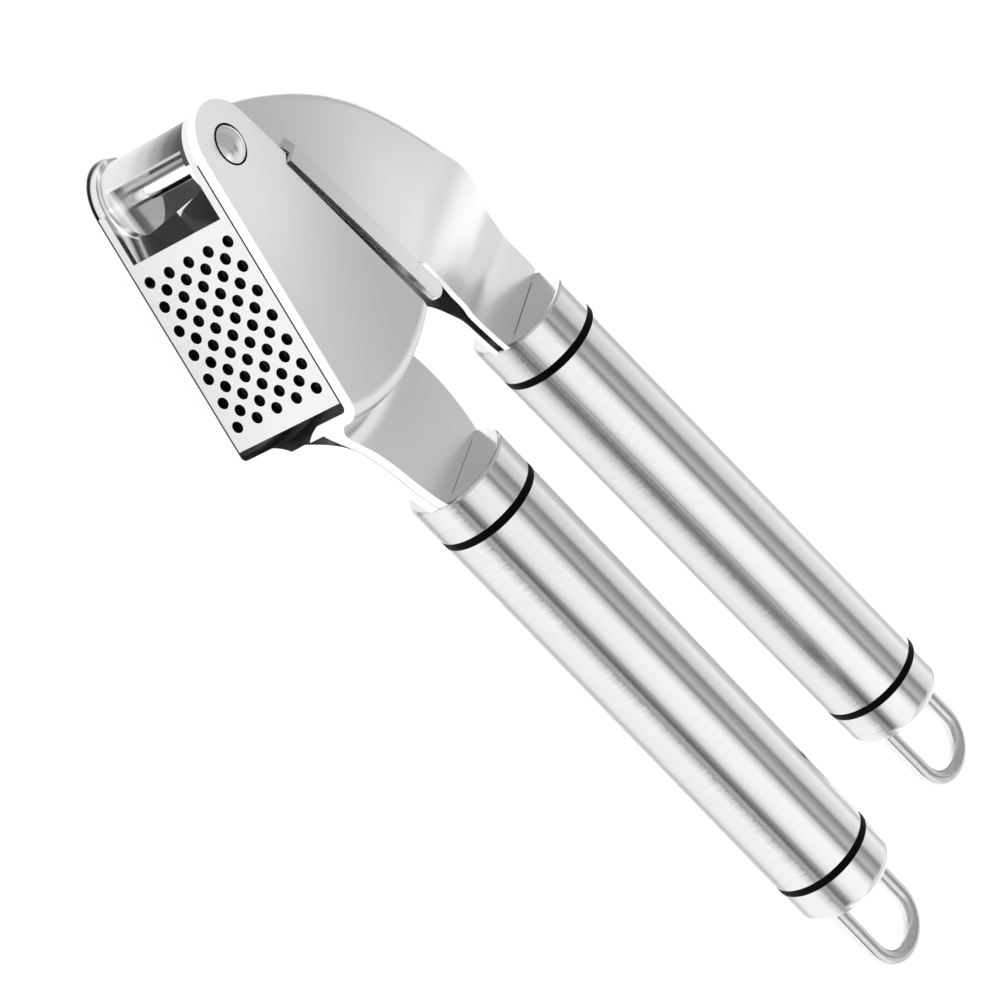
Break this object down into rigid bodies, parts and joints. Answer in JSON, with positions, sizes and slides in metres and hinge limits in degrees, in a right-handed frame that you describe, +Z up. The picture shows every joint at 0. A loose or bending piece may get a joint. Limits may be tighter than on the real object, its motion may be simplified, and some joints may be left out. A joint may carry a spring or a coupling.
{
  "type": "garlic press",
  "caption": "Two-handled garlic press with a perforated swing-out basket, a domed upper lever with a plunger, round brushed tube handles and wire hanging loops.",
  "frame": {"origin": "centre of the base of the box round the press, lying on its side", "axes": "+X along the lower handle from the head to the tails, +Y in the plane of the press towards the upper handle, +Z up along the pivot axis"},
  "size_m": [0.2218, 0.0836, 0.0318],
  "materials": {
    "satin_steel": "satin pressed stainless sheet",
    "brushed_steel": "brushed round the tube",
    "polished_steel": "polished",
    "black_ring": "satin black band"
  },
  "bodies": {
    "lower_handle": {"lower_hanging_loop": "polished_steel", "lower_head_cap": "brushed_steel", "lower_head_ring": "black_ring", "lower_tail_cap": "brushed_steel", "lower_tail_ring": "black_ring", "lower_tube": "brushed_steel", "frame_plate_near": "satin_steel", "frame_plate_far": "satin_steel", "pivot_rivet": "polished_steel"},
    "basket": {"sieve_basket": "satin_steel"},
    "upper_lever": {"upper_hanging_loop": "polished_steel", "upper_head_cap": "brushed_steel", "upper_head_ring": "black_ring", "upper_lever_shell": "satin_steel", "upper_tail_cap": "brushed_steel", "upper_tail_ring": "black_ring", "upper_tube": "brushed_steel", "plunger_pan": "satin_steel", "plunger_bracket": "satin_steel", "pivot_spacer": "polished_steel"}
  },
  "joints": [
    {"name": "basket_swing", "type": "hinge", "parent": "lower_handle", "child": "basket", "pos_m": [-0.10247, -0.01646, 0.0159], "axis": [0, 0, 1], "range_deg": [0, 90]},
    {"name": "lever_swing", "type": "hinge", "parent": "basket", "child": "upper_lever", "pos_m": [-0.10247, -0.01646, 0.0159], "axis": [0, 0, 1], "range_deg": [0, 110]}
  ]
}
